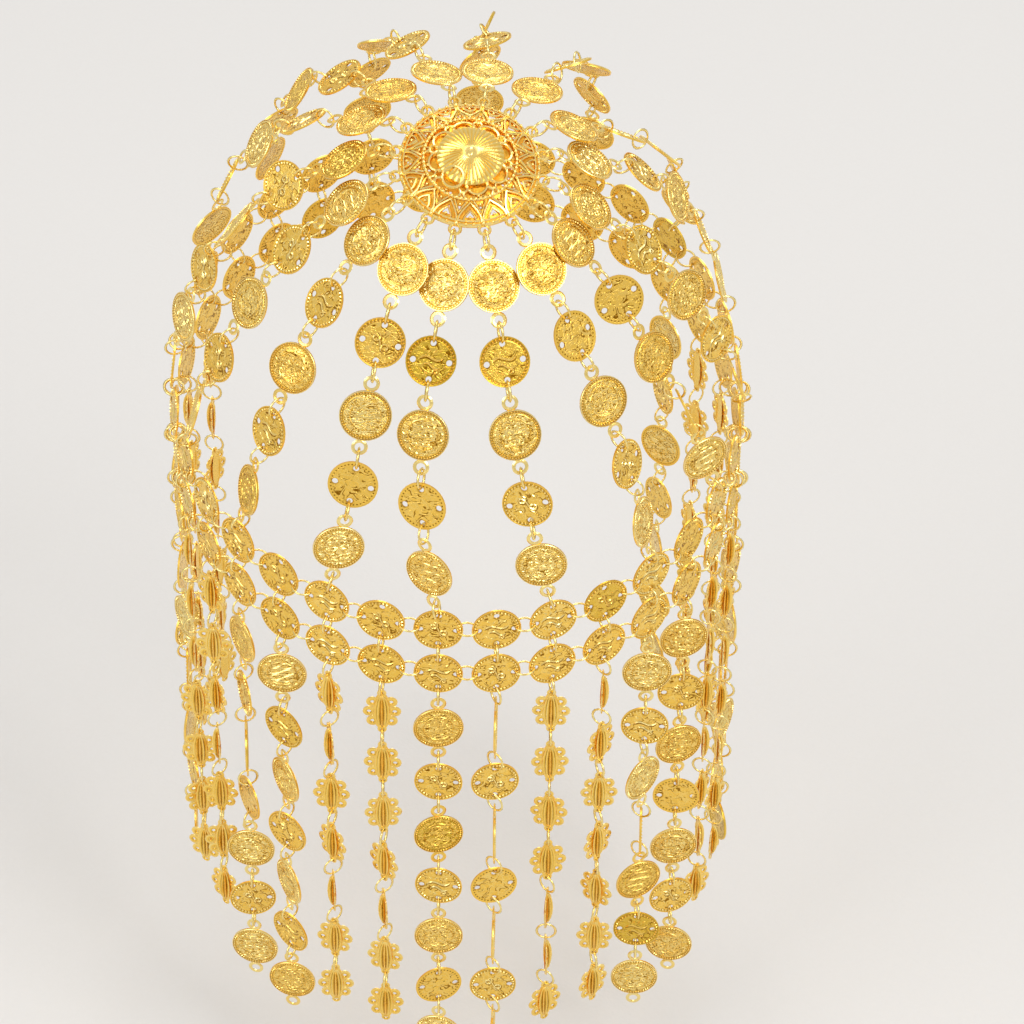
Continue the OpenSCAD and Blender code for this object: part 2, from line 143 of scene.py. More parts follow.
def spun(name, profile, steps):  # profile: (radius, height) points from the middle out and back
    piece = added(bpy.ops.mesh.primitive_plane_add, size=0.001, location=(0, 0, 0))
    bpy.ops.object.mode_set(mode="EDIT")
    bpy.ops.mesh.select_mode(type="VERT")
    bpy.ops.mesh.select_all(action="SELECT")
    bpy.ops.mesh.merge(type="CENTER")
    bpy.ops.transform.translate(value=(profile[0][0], 0, profile[0][1]))
    for here, there in zip(profile, profile[1:]):
        step = (there[0] - here[0], 0, there[1] - here[1])
        bpy.ops.mesh.extrude_vertices_move(TRANSFORM_OT_translate={"value": step})
    bpy.ops.mesh.select_all(action="SELECT")
    bpy.ops.mesh.spin(steps=steps, angle=2 * math.pi, center=(0, 0, 0), axis=(0, 0, 1))
    bpy.ops.mesh.select_all(action="SELECT")
    bpy.ops.mesh.remove_doubles(threshold=1e-6)
    bpy.ops.mesh.normals_make_consistent(inside=False)
    bpy.ops.object.mode_set(mode="OBJECT")
    piece.name = name
    return piece


def wire(points, radius, steps=4, roundness=0, pointed=(), tips=1.0):  # tips: thickness of the ends
    deselectAll()
    bpy.ops.curve.primitive_bezier_curve_add(location=(0, 0, 0))
    piece = bpy.context.object
    bpy.ops.object.mode_set(mode="EDIT")
    bpy.ops.curve.select_all(action="SELECT")
    if len(points) > 2:
        bpy.ops.curve.subdivide(number_cuts=len(points) - 2)
    bpy.ops.object.mode_set(mode="OBJECT")
    curve = piece.data
    for n, (knot, point) in enumerate(zip(curve.splines[0].bezier_points, points)):
        knot.handle_left_type = knot.handle_right_type = "VECTOR" if n in pointed else "AUTO"
        knot.co = point
        knot.radius = tips if n in (0, len(points) - 1) else 1
    curve.dimensions = "3D"
    curve.resolution_u = steps
    curve.bevel_depth = radius
    curve.bevel_resolution = roundness
    curve.use_fill_caps = True
    bpy.ops.object.convert(target="MESH")
    return bpy.context.object


def faceMap(piece):  # a map in millimetres from the middle of the piece's face
    layer = piece.data.uv_layers.new(name="faceMap")
    corners = np.zeros(len(piece.data.loops), np.int32)
    piece.data.loops.foreach_get("vertex_index", corners)
    spots = np.zeros(len(piece.data.vertices) * 3, np.float32)
    piece.data.vertices.foreach_get("co", spots)
    layer.data.foreach_set("uv", (spots.reshape(-1, 3)[corners, :2] * 1000).ravel())


def raised(piece, shareAt=lambda spot: 1.0):  # 1 where a piece stands out, below 0 in its grooves; the shaders paint highlight where it is high and shade where it is low
    layer = piece.data.attributes.new("raise", "FLOAT", "POINT")
    layer.data.foreach_set("value", [shareAt(corner.co) for corner in piece.data.vertices])
    return piece


def finished(piece, material, angle=40):
    while len(piece.data.uv_layers) > 0:
        piece.data.uv_layers.remove(piece.data.uv_layers[0])
    faceMap(piece)
    piece.data.materials.clear()
    piece.data.materials.append(material)
    makeActive(piece)
    bpy.ops.object.shade_smooth_by_angle(angle=math.radians(angle))
    return piece


def post(x, y, radius, sides, turn=0.0):  # an upright cutter
    return added(bpy.ops.mesh.primitive_cylinder_add, vertices=sides, radius=radius, depth=0.02,
                 location=(x, y, 0), rotation=(0, 0, turn))


def cutAway(piece, cutters):
    cutter = joined("cutter", cutters)
    makeActive(piece)
    cut = piece.modifiers.new("cut", "BOOLEAN")
    cut.operation = "DIFFERENCE"
    cut.solver = "EXACT"
    cut.use_self = True
    cut.object = cutter
    bpy.ops.object.modifier_apply(modifier=cut.name)
    bpy.data.objects.remove(cutter)
    return piece


def hoop(radius, thickness, steps, sides, level=0.0):
    return added(bpy.ops.mesh.primitive_torus_add, major_radius=radius, minor_radius=thickness,
                 major_segments=steps, minor_segments=sides, location=(0, 0, level))


# Shader maths: a wrapped socket adds, multiplies and compares like a number


class Socket:
    def __init__(self, shader, out):
        self.shader, self.out = shader, out

    def maths(self, operation, *others):
        values = dict(enumerate((self,) + others))
        return self.shader.node("ShaderNodeMath", {"operation": operation}, values)

    def __add__(self, other):
        return self.maths("ADD", other)

    __radd__ = __add__

    def __mul__(self, other):
        return self.maths("MULTIPLY", other)

    __rmul__ = __mul__

    def __sub__(self, other):
        return self.maths("SUBTRACT", other)

    def __rsub__(self, other):
        return (self * -1).maths("ADD", other)

    def __truediv__(self, other):
        return self.maths("DIVIDE", other)

    def __abs__(self):
        return self.maths("ABSOLUTE")

    def sine(self):
        return self.maths("SINE")

    def larger(self, other):
        return self.maths("MAXIMUM", other)

    def smaller(self, other):
        return self.maths("MINIMUM", other)


class Shader:
    def __init__(self, name):
        self.material = bpy.data.materials.new(name)
        self.material.use_nodes = True
        self.nodes = self.material.node_tree.nodes
        self.links = self.material.node_tree.links
        self.nodes.clear()

    def node(self, kind, settings=None, values=None, out=0):
        made = self.nodes.new(kind)
        for name, value in (settings or {}).items():
            setattr(made, name, value)
        for name, value in (values or {}).items():
            if isinstance(value, Socket):
                self.links.new(value.out, made.inputs[name])
            else:
                made.inputs[name].default_value = value
        return Socket(self, made.outputs[out]) if out is not None else made

    def smooth(self, value, low, high):  # 0 below low, 1 above high, a soft step between
        settings = {"interpolation_type": "SMOOTHSTEP"}
        return self.node("ShaderNodeMapRange", settings, {0: value, 1: low, 2: high})

    def noise(self, place, scale, detail, w=0.0, distortion=0.0):
        values = {"Vector": place, "Scale": scale, "Detail": detail, "W": w, "Distortion": distortion}
        return self.node("ShaderNodeTexNoise", {"noise_dimensions": "4D"}, values)

    def veins(self, place, scale, w, distortion):  # 0 along thin winding lines
        return abs(self.noise(place, scale, 0.6, w, distortion) - 0.5)

    def band(self, value, low, high, soft):  # 1 from low to high
        return self.smooth(value, low - soft, low) - self.smooth(value, high, high + soft)

    def objectPlace(self):
        return self.node("ShaderNodeTexCoord", None, None, 3)

    def attribute(self, name):
        return self.node("ShaderNodeAttribute", {"attribute_name": name}, None, 2)

    def parts(self, vector):
        split = self.node("ShaderNodeSeparateXYZ", None, {0: vector}, None)
        return [Socket(self, out) for out in split.outputs]

    def lengthOf(self, x, y):
        flat = self.node("ShaderNodeCombineXYZ", None, {0: x, 1: y})
        return self.node("ShaderNodeVectorMath", {"operation": "LENGTH"}, {0: flat}, 1)

    def mix(self, share, low, high):
        values = {0: share, 6: low, 7: high}
        return self.node("ShaderNodeMix", {"data_type": "RGBA"}, values, 2)

    def finish(self, colour, roughness, height, depth, metallic=1.0):
        values = {"Strength": 1.0, "Distance": depth, "Height": height}
        normal = self.node("ShaderNodeBump", None, values)
        values = {"Base Color": colour, "Roughness": roughness, "Metallic": metallic, "Normal": normal}
        metal = self.node("ShaderNodeBsdfPrincipled", None, values)
        self.node("ShaderNodeOutputMaterial", None, {"Surface": metal}, None)
        return self.material


# Gold plating with painted light: a painted highlight (pale) on what stands out, plain or olive on the
# ground, painted shade (brown) in the grooves. Each coin, bead and ring has its own tone by chance, from
# 0 for olive to 1 for pale.

plating = {
    # the pale colour is a painted highlight on what stands out, and the shadow colour is painted shade in
    # the grooves
    "pale": (1.0, 0.82, 0.34, 1),
    "plain": (1.0, 0.64, 0.11, 1),
    "olive": (0.66, 0.44, 0.03, 1),
    "shadow": (0.3, 0.13, 0.005, 1),
    # the recess colour is painted shade on the ground under the filigree
    "recessShade": (0.95, 0.48, 0.055, 1),
    "reliefDepth": 0.00018,
    "grainDepth": 0.00003,
    "tones": {  # darkest and lightest tone of each kind
        "coin": (0, 1), "row": (0.1, 1), "back": (0.4, 1), "bead": (0.25, 1), "ring": (0.5, 1),
        "medallion": (0.9, 0.9),
    },
    "lightness": 0.45,  # under 1, light tones are the more common
}


def shadedPlating(shader, height, tone):  # height: 0 in a groove, 0.5 on the ground, 1 on a ridge; painted shade below 0.5, painted highlight above
    ground = shader.mix(shader.smooth(tone, 0, 0.5), plating["olive"], plating["plain"])
    ridge = shader.mix(tone, plating["plain"], plating["pale"])
    sunk = shader.mix(height * 2, plating["shadow"], ground)
    return shader.mix(height * 2 - 1, sunk, ridge)


# Strokes too fine to model, in millimetres on the coin, with patches of painted shade beside them and a
# band of painted shade under the border's dots. The backs have the border's dots as pits, in bump and
# painted shade.

earedStrokes = {
    "stretch": 0.7, "scale": 0.62, "width": 0.06, "bend": 0.5, "strength": 0.45, "outlineShadeShare": 0.24,
    "border": 6.45, "dots": 52,
}
piercedStrokes = {
    "stretch": 0.8, "scale": 0.36, "width": 0.045, "bend": 0.7, "strength": 0.2, "outlineShadeShare": 0.16,
    "border": 6.1, "dots": 38, "holesAt": 5.2,
}


def stampedGold(name, look):
    width, border = look["width"], look["border"]
    shader = Shader(name)
    place = shader.node("ShaderNodeUVMap", {"uv_map": "faceMap"})
    tone, stand = shader.attribute("tone"), shader.attribute("raise")
    x, y = shader.parts(place)[:2]
    radius = shader.lengthOf(x, y)
    drawn = shader.node("ShaderNodeCombineXYZ", None, {0: x * look["stretch"], 1: y / look["stretch"]})
    low = 1 - shader.smooth(stand, 0.1, 0.6)
    front = shader.smooth(stand, -0.15, -0.02)
    inField = low * (1 - shader.smooth(radius, border - 0.3, border - 0.1))
    bold = shader.veins(drawn, look["scale"], tone * 9, look["bend"])
    fine = shader.veins(drawn, look["scale"] * 2.2, tone * 9 + 4, look["bend"])
    strokes = 1 - shader.smooth(bold, width * 0.4, width)
    strokes = strokes.larger(0.6 - 0.6 * shader.smooth(fine, width, width * 2))
    # patches of painted shade in a band beside the bold strokes
    patches = shader.noise(place, 0.5, 1, tone * 9 + 7)
    patches = shader.smooth(patches, 0.62 - look["outlineShadeShare"], 0.7 - look["outlineShadeShare"])
    paintedShade = inField * patches * shader.band(bold, width * 1.2, width * 1.9, width * 0.3)
    # painted shade in the pits of the border's dots on the backs
    pits = shader.smooth((y.maths("ARCTAN2", x) * look["dots"]).sine(), 0, 0.6)
    pits = pits * (1 - front) * shader.band(radius, border + 0.15, border + 0.35, 0.2)
    # painted shade on the front in a band under the border's dots
    paintedShade = paintedShade.larger(pits).larger(low * front * 0.6 * shader.band(radius, border, border + 0.7, 0.15))
    # painted shadow on the low strips beside the strokes, whose raise is below 0
    paintedShade = paintedShade.larger(shader.smooth(stand * -1, 0.3, 0.9))
    # painted shade in a ring round each hole
    if "holesAt" in look:
        holeDistance = shader.lengthOf(abs(x).larger(abs(y)) - look["holesAt"], abs(x).smaller(abs(y)))
        paintedShade = paintedShade.larger(0.6 - 0.6 * shader.smooth(holeDistance, 0.9, 1.5))
    grain = shader.noise(place, 3.2, 3, tone * 5)
    drawing = (inField * strokes * look["strength"]).larger(stand * 0.55)
    # the painted shade darkens the colour and lowers the bump
    height = 0.45 + drawing + grain * 0.1 - paintedShade * 0.5
    roughness = 0.3 - height * 0.12 + grain * 0.1
    colour = shadedPlating(shader, height, tone)
    return shader.finish(colour, roughness, height + grain * 0.2, plating["reliefDepth"])


def smoothGold(name, depth, roughness, lift):  # drawn wire and cast pieces, painted paler where they stand out and with painted shade in their grooves
    shader = Shader(name)
    place = shader.objectPlace()
    tone, stand = shader.attribute("tone"), shader.attribute("raise")
    grain, cloud = shader.noise(place, 1500, 3), shader.noise(place, 260, 2)
    colour = shadedPlating(shader, stand * 0.7 + cloud * 0.4 + lift, tone)
    return shader.finish(colour, grain * 0.14 + cloud * 0.1 + roughness, grain + cloud, depth)


def recessedGold(name):  # the ground under the filigree, painted in shade: a dark orange with cloudy patches of painted shadow
    shader = Shader(name)
    place = shader.objectPlace()
    grain, cloud = shader.noise(place, 1500, 3), shader.noise(place, 420, 2)
    colour = shader.mix(shader.smooth(cloud, 0.1, 0.5), plating["shadow"], plating["recessShade"])
    return shader.finish(colour, grain * 0.2 + 0.24, grain + cloud, plating["grainDepth"] * 3)


earedGold = stampedGold("earedGold", earedStrokes)
piercedGold = stampedGold("piercedGold", piercedStrokes)
beadGold = smoothGold("beadGold", plating["grainDepth"], 0.16, 0)
wireGold = smoothGold("wireGold", plating["grainDepth"], 0.12, 0.1)
castGold = smoothGold("castGold", plating["grainDepth"] * 2, 0.12, 0)
recessGold = recessedGold("recessGold")
print("materials made")

# Jump rings

jumpRing = {"diameter": 0.0059, "wireRadius": 0.0004025, "steps": 16, "sides": 4}


def makeJumpRing(plan):
    ring = hoop(plan["diameter"] / 2, plan["wireRadius"], plan["steps"], plan["sides"])
    ring.rotation_euler.y = math.pi / 2
    return finished(raised(applyPlace(ring)), wireGold, 180)


# Stamped coins. Both kinds have a raised rim, a border of dots and a field of strokes and leaves.

earedCoin = {
    "radius": 0.0075, "rim": 0.0004, "earAt": 0.0096, "earRadius": 0.0024, "holeRadius": 0.00125,
    "earFlatness": 0.55, "play": 0.00055, "steps": 36, "dots": 52, "dotsAt": 0.0068,
    "dotRadius": 0.00034, "wreath": 34, "wreathAt": 0.0056, "ringAt": 0.0044,
}
piercedCoin = {
    "radius": 0.00725, "rim": 0.00045, "holeAt": 0.0052, "holeRadius": 0.0009, "play": 0.00035,
    "steps": 36, "dots": 38, "dotsAt": 0.0064, "dotRadius": 0.00042, "dish": 0.00015,
    "dishFoot": 0.003, "dishEdge": 0.0058,
}
plateHalf, rimHalf, bevel = 0.00025, 0.0004, 0.0001  # half thicknesses, and the bevel of the edges


def coinShare(spot):  # the rim stands out and takes the painted highlight, and the shader knows a back by its share below 0
    return -0.2 if spot.z < -bevel / 10 else float(spot.z > plateHalf + bevel / 2)


def disc(sides):
    return added(bpy.ops.mesh.primitive_circle_add, vertices=sides, radius=1, fill_type="NGON",
                 location=(0, 0, 0))


def leaf(x, y, turn, length, width, height, level):
    piece = disc(4)
    bpy.ops.object.mode_set(mode="EDIT")
    bpy.ops.mesh.select_all(action="SELECT")
    bpy.ops.mesh.poke(offset=1)
    bpy.ops.object.mode_set(mode="OBJECT")
    piece.scale = (width / 2, length / 2, height)
    piece.location = (x, y, level)
    piece.rotation_euler = (0, 0, turn)
    return raised(applyPlace(piece))


def dotBorder(count, at, radius, level):
    dot = added(bpy.ops.mesh.primitive_cone_add, vertices=5, radius1=radius, radius2=radius * 0.5,
                depth=radius * 0.7, location=(at, 0, level + radius * 0.35))
    bpy.ops.object.mode_set(mode="EDIT")
    pick(dot, "FACE", lambda middle, normal: normal.z < -0.9)
    bpy.ops.mesh.delete(type="FACE")
    bpy.ops.object.mode_set(mode="OBJECT")
    return roundCopies(raised(dot), count)


def scrollPoints(x, y, size, start, turns, count):  # a spiral that winds out from its middle
    points = []
    for n in range(count):
        share = n / (count - 1)
        angle = start + turns * 2 * math.pi * share
        reach = size * (0.15 + 0.85 * share)
        points.append((x + reach * math.cos(angle), y + reach * math.sin(angle), 0))
    return points


def wavePoints(x, y, length, sway, turn, count):
    points = []
    for n in range(count):
        along = length * (n / (count - 1) - 0.5)
        across = sway * math.sin(2 * math.pi * n / (count - 1))
        points.append((x + along * math.cos(turn) - across * math.sin(turn),
                       y + along * math.sin(turn) + across * math.cos(turn), 0))
    return points


def ridges(paths, width, height, level, share=1.0):  # low raised strokes along the paths
    pieces = []
    for path in paths:
        ridge = wire(path, width / 2, steps=2, tips=0.3)
        ridge.scale.z = 2 * height / width
        ridge.location.z = level
        pieces.append(raised(applyPlace(ridge), lambda spot: share))
    return pieces


def shadedRidges(paths, width, level):  # with a low strip beside each stroke, offset to one side and painted dark as its shadow
    shadowPaths = [[(x + 0.00012, y - 0.00018, z) for x, y, z in path] for path in paths]
    return ridges(paths, width, 0.00028, level) + ridges(shadowPaths, width * 1.45, 0.00013, level, -1.0)


def leafRound(at, bearing, lean, *size):  # a leaf at a bearing from the middle
    return leaf(at * math.cos(bearing), at * math.sin(bearing), bearing + lean, *size)


def scrollsRound(count, at, size, start, turns, steps, first=0.0):
    return [scrollPoints(at * math.cos(a), at * math.sin(a), size, a + start, turns, steps)
            for a in (np.arange(count) + first) * 2 * math.pi / count]


def scrollMotif(level):  # six scrolls round a knot, with leaves between
    pieces = ridges(scrollsRound(6, 0.0025, 0.0012, 2.2, 1.15, 8), 0.00046, 0.0002, level)
    for n in range(6):
        a = (n + 0.5) * math.pi / 3
        pieces.append(leafRound(0.0016, a, -math.pi / 2, 0.0016, 0.0006, 0.00024, level))
        pieces.append(leafRound(0.0036, a, 0.4, 0.0013, 0.0005, 0.00024, level))
    return pieces


def sprigMotif(level):  # curved sprigs that lie side by side, with short leaves
    paths = []
    pieces = []
    for row, y in enumerate((-0.0032, -0.0019, -0.0006, 0.0007, 0.002, 0.0033)):
        length = 2 * math.sqrt(0.0041 ** 2 - y ** 2) * 0.95
        paths.append(wavePoints(0, y, length, 0.0004 * (-1) ** row, 0.25, 8))
        for x in (-0.0016, 0.0002, 0.0019):
            pieces.append(leaf(x + 0.0003 * row, y + 0.0006, 0.7 - 1.4 * (row % 2), 0.0011, 0.00042,
                               0.0002, level))
    return ridges(paths, 0.00046, 0.0002, level) + pieces


def starMotif(level):  # a star of leaves with a ring of curls
    pieces = [leafRound(0.0012, n * math.pi / 4, -math.pi / 2, 0.0022, 0.0006, 0.00026, level)
              for n in range(8)]
    return pieces + ridges(scrollsRound(8, 0.003, 0.0009, 1, 1.0, 6, 0.5), 0.00044, 0.0002, level)


def wreath(count, at, level):  # short strokes that lean to and fro
    return [leafRound(at, 2 * math.pi * n / count, 0.75 if n % 2 else -0.4,
                      0.00125, 0.00046, 0.0002, level) for n in range(count)]


def makeEaredCoin(name, coin, motif):
    rim, lip, ringAt = coin["radius"], coin["radius"] - coin["rim"], coin["ringAt"]
    face = [
        (0, plateHalf), (ringAt - 0.0002, plateHalf), (ringAt, plateHalf + 0.00012),
        (ringAt + 0.0002, plateHalf), (lip, plateHalf), (lip + bevel, rimHalf),
        (rim - bevel, rimHalf), (rim, rimHalf - bevel),
    ]
    back = [(rim, bevel - rimHalf), (rim - bevel, -rimHalf), (lip, -plateHalf), (0, -plateHalf)]
    plate = spun("plate", face + back, coin["steps"])
    pieces = [raised(plate, coinShare)]
    pieces += dotBorder(coin["dots"], coin["dotsAt"], coin["dotRadius"], plateHalf)
    pieces += wreath(coin["wreath"], coin["wreathAt"], plateHalf) + motif(plateHalf)
    outer, inner = coin["earRadius"], coin["holeRadius"]
    for end in (-1, 1):
        ear = hoop((outer + inner) / 2, (outer - inner) / 2, 16, 5)
        ear.location.y = end * coin["earAt"]
        ear.scale.z = coin["earFlatness"]
        pieces.append(raised(applyPlace(ear)))
    return finished(joined(name, pieces), earedGold)


def leapMotif(level):  # long S-waves across the field, with a curl and short strokes
    paths = [wavePoints(0, 0.0008, 0.0074, 0.0008, 0.15, 9),
             wavePoints(0.0002, -0.0014, 0.0052, 0.0006, -0.1, 7),
             scrollPoints(0.0016, -0.003, 0.0009, 2.5, 1.2, 7)]
    pieces = shadedRidges(paths, 0.0007, level)
    for x, y, turn in ((-0.0024, 0.0031, 0.9), (-0.0008, 0.0028, -0.6), (0.0008, 0.0029, -0.6),
                       (0.0024, 0.0031, -0.9), (-0.0012, -0.0034, 0.9), (-0.0026, -0.0027, 0.9),
                       (0.0042, -0.0014, 0.3), (-0.0042, -0.0012, -0.3)):
        pieces.append(leaf(x, y, turn, 0.0017, 0.00065, 0.0003, level))
    return pieces


def curlMotif(level):  # two facing curls with a sprig
    paths = [scrollPoints(-0.0015, 0.0014, 0.0015, 0.3, 1.2, 9),
             scrollPoints(0.0017, -0.0013, 0.0015, 3.4, 1.2, 9),
             wavePoints(0, 0, 0.0066, 0.0006, -0.7, 7)]
    pieces = shadedRidges(paths, 0.00062, level)
    for x, y, turn in ((0.0022, 0.0024, 0.7), (-0.0023, -0.0024, 0.7), (0.0036, 0.0008, 0),
                       (-0.0036, -0.0009, 0), (0.0009, 0.0033, -0.5), (-0.001, -0.0034, -0.5)):
        pieces.append(leaf(x, y, turn, 0.0015, 0.0006, 0.0003, level))
    return pieces


def makeBlankCoin(coin):
    rim, lip, dish = coin["radius"], coin["radius"] - coin["rim"], coin["dish"]
    bowl = [(0, -dish), (coin["dishFoot"], -dish * 0.7), (coin["dishEdge"], 0)]
    face = [(radius, plateHalf + drop) for radius, drop in bowl]
    face += [(lip, plateHalf), (lip + bevel, rimHalf - bevel), (rim, rimHalf - bevel)]
    back = [(rim, -plateHalf)] + [(radius, bevel - plateHalf + drop) for radius, drop in reversed(bowl)]
    return spun("blankCoin", face + back, coin["steps"])


def makeCoinDress(coin, motif):  # the border of dots and the motif that lie on a blank coin
    dots = dotBorder(coin["dots"], coin["dotsAt"], coin["dotRadius"], plateHalf)
    return joined("coinDress", dots + motif(plateHalf - coin["dish"] * 0.8))


def makePiercedCoin(blank, dress, bearings):
    at, hole = piercedCoin["holeAt"], piercedCoin["holeRadius"]
    drills = [post(at * math.cos(b), at * math.sin(b), hole, 10) for b in map(math.radians, bearings)]
    coin = raised(cutAway(copyOf(blank), drills), coinShare)
    return finished(joined("piercedCoin", [coin, copyOf(dress)]), piercedGold)


# Lace beads: an almond plate with pierced lobes and a ribbed boss

laceBead = {
    "half": 0.0084, "lobe": 0.0019, "endLobe": 0.0014, "hole": 0.0007, "play": 0.00025,
    "lobesAt": 0.0038, "lobeStep": 0.0037, "lobeTaper": 0.28, "plateSide": 0.0028,
    "bossHalf": 0.0063, "bossSide": 0.0024, "bossHeight": 0.002, "ribs": 10, "groove": 0.7,
    "grooveShare": -0.2,
}


def lobe(x, y, outer, hole, half):
    profile = [(hole, half), (outer - 0.00025, half), (outer, half * 0.4), (outer, -half * 0.4),
               (outer - 0.00025, -half), (hole, -half), (hole, half)]
    piece = spun("lobe", profile, 14)
    # painted shade round the lobe's hole
    raised(piece, lambda spot: 0.2 if math.hypot(spot.x, spot.y) < hole * 1.1 else 0.9)
    piece.location = (x, y, 0)
    return applyPlace(piece)


def makeLaceBead(bead):
    plate = disc(24)
    plate.scale = (bead["plateSide"], bead["half"] - bead["endLobe"], 1)
    applyPlace(plate)
    bpy.ops.object.mode_set(mode="EDIT")
    bpy.ops.mesh.select_all(action="SELECT")
    bpy.ops.transform.translate(value=(0, 0, -plateHalf * 0.8))
    bpy.ops.mesh.extrude_region_move(TRANSFORM_OT_translate={"value": (0, 0, plateHalf * 1.6)})
    bpy.ops.mesh.select_all(action="SELECT")
    bpy.ops.mesh.normals_make_consistent(inside=False)
    bpy.ops.object.mode_set(mode="OBJECT")
    pieces = [raised(plate, lambda spot: 0.6)]
    for side in (-1, 1):
        for y in (-bead["lobeStep"], 0, bead["lobeStep"]):
            x = side * (bead["lobesAt"] - bead["lobeTaper"] * abs(y))
            pieces.append(lobe(x, y, bead["lobe"], bead["hole"], plateHalf - 0.005 * abs(y)))
        end = side * (bead["half"] - bead["endLobe"])
        pieces.append(lobe(0, end, bead["endLobe"], bead["hole"], plateHalf * 0.9))
    boss = added(bpy.ops.mesh.primitive_uv_sphere_add, segments=2 * bead["ribs"], ring_count=8, radius=1,
                 location=(0, 0, 0), rotation=(math.pi / 2, 0, 0))
    bpy.ops.object.mode_set(mode="EDIT")
    ribAngle = math.pi / bead["ribs"]
    pick(boss, "VERT", lambda spot, normal: abs(spot.y) < 0.95
         and round((math.atan2(spot.z, spot.x) - math.pi / 2) / ribAngle) % 2 == 1)
    bpy.ops.transform.resize(value=(bead["groove"], 1, bead["groove"]), center_override=(0, 0, 0))
    pick(boss, "FACE", lambda middle, normal: middle.z < -0.15)
    bpy.ops.mesh.delete(type="FACE")
    bpy.ops.object.mode_set(mode="OBJECT")
    # painted shade in the boss's grooves
    raised(boss, lambda spot: 1.0 if spot.length > 0.9 else bead["grooveShare"])
    boss.scale = (bead["bossSide"], bead["bossHalf"], bead["bossHeight"])
    pieces.append(applyPlace(boss))
    return finished(joined("laceBead", pieces), beadGold)


ringModel = makeJumpRing(jumpRing)
earedModels = [makeEaredCoin("eared", earedCoin, motif) for motif in (scrollMotif, sprigMotif, starMotif)]
blankModel = makeBlankCoin(piercedCoin)
dressModels = [makeCoinDress(piercedCoin, leapMotif), makeCoinDress(piercedCoin, curlMotif)]
piercedModels = [makePiercedCoin(blankModel, dress, (0, 90, 180, 270)) for dress in dressModels]
beadModel = makeLaceBead(laceBead)
print("coins, beads and rings modelled")

# The crown medallion: a pierced shell with wire arches, a beaded ring, round curls and a pleated rosette

medallion = {
    "rimAt": 0.0197, "rimWire": 0.00055, "ringAt": 0.0132, "ringWire": 0.0004, "ringPearls": 60,
    "rosetteRadius": 0.0097, "pleats": 40, "seat": 0.0033, "shellWall": 0.0008, "shellEdge": 0.0006,
    "arches": 16, "archWire": 0.0004, "archHoleAt": 0.0167, "archHole": 0.0017, "roundHoleAt": 0.0152,
    "roundHole": 0.0007, "curls": 8, "curlAt": 0.0090, "curlLevel": 0.0050, "curlRadius": 0.0031,
    "curlWire": 0.00042, "curlLift": 0.0013, "curlHoleAt": 0.0121, "curlHole": 0.0005,
    "loopAt": 0.0212, "loopRadius": 0.00155, "loopWire": 0.0005, "loopPlay": 0.0003,
}
shellProfile = [  # radius and height of the shell's upper face
    (0.0, 0.0056), (0.0027, 0.0055), (0.0056, 0.0049), (0.0078, 0.0040), (0.0092, 0.0038),
    (0.0125, 0.0031), (0.0139, 0.0027), (0.0185, 0.0006), (0.0200, 0.0003),
]


def onShell(radius, angle, lift):  # a point over the shell
    radii, heights = zip(*shellProfile)
    level = float(np.interp(radius, radii, heights)) + lift
    return (radius * math.cos(angle), radius * math.sin(angle), level)


def pearl(at, radius, level):
    return added(bpy.ops.mesh.primitive_uv_sphere_add, segments=8, ring_count=5, radius=radius,
                 location=(at, 0, level))


def makeShell(plan):
    under = [(radius * 0.985, level - plan["shellWall"]) for radius, level in reversed(shellProfile)]
    edge = (shellProfile[-1][0], -plan["shellEdge"])
    shell = spun("shell", shellProfile + [edge] + under[1:], 96)
    arches = plan["arches"]
    archHole = post(plan["archHoleAt"], 0, plan["archHole"], 3, math.pi / 2)
    cutters = roundCopies(archHole, arches, math.pi / arches)
    cutters += roundCopies(post(plan["roundHoleAt"], 0, plan["roundHole"], 10), arches)
    for shadowPaths in (-16, 0, 16):
        curlHole = post(plan["curlHoleAt"], 0, plan["curlHole"], 12)
        cutters += roundCopies(curlHole, plan["curls"], math.radians(shadowPaths))
    return cutAway(shell, cutters)


def makeRosette(plan):
    reach = plan["rosetteRadius"]
    dome = [(0, 0.0079), (0.0014, 0.0079), (0.0026, 0.0078), (0.0040, 0.0077), (0.0054, 0.0074),
            (0.0067, 0.0070), (0.0079, 0.0065), (0.0089, 0.0060), (reach - 0.0002, 0.0055),
            (reach, 0.0040)]
    rosette = spun("rosette", dome, 2 * plan["pleats"])
    makeActive(rosette)
    bpy.ops.object.mode_set(mode="EDIT")
    step = math.pi / plan["pleats"]
    for start, drop in ((0.0020, 0.00012), (0.0036, 0.00012), (0.0060, 0.0001)):
        pick(rosette, "VERT", lambda spot, normal: math.hypot(spot.x, spot.y) > start
             and round(math.atan2(spot.y, spot.x) / step) % 2 == 0)
        bpy.ops.transform.translate(value=(0, 0, -drop))
    bpy.ops.object.mode_set(mode="OBJECT")
    # painted shade in the pleats' grooves, painted highlight on the crests and the middle
    raised(rosette, lambda spot: 1.0 if math.hypot(spot.x, spot.y) < 0.002
           or round(math.atan2(spot.y, spot.x) / step) % 2 else 0.4)
    knob = spun("knob", [(0, 0.0083), (0.0009, 0.0082), (0.0014, 0.0081), (0.0017, 0.0078)], 20)
    knob.scale.y = 0.6
    return [rosette, raised(applyPlace(knob))]


def archSpots(foot, shoulder, apex):  # a pointed arch, its spots by radius, turn and lift off the shell
    left = [onShell(at, -turn, lift) for at, turn, lift in (foot, shoulder)]
    right = [onShell(at, turn, lift) for at, turn, lift in (shoulder, foot)]
    return left + [onShell(*apex)] + right


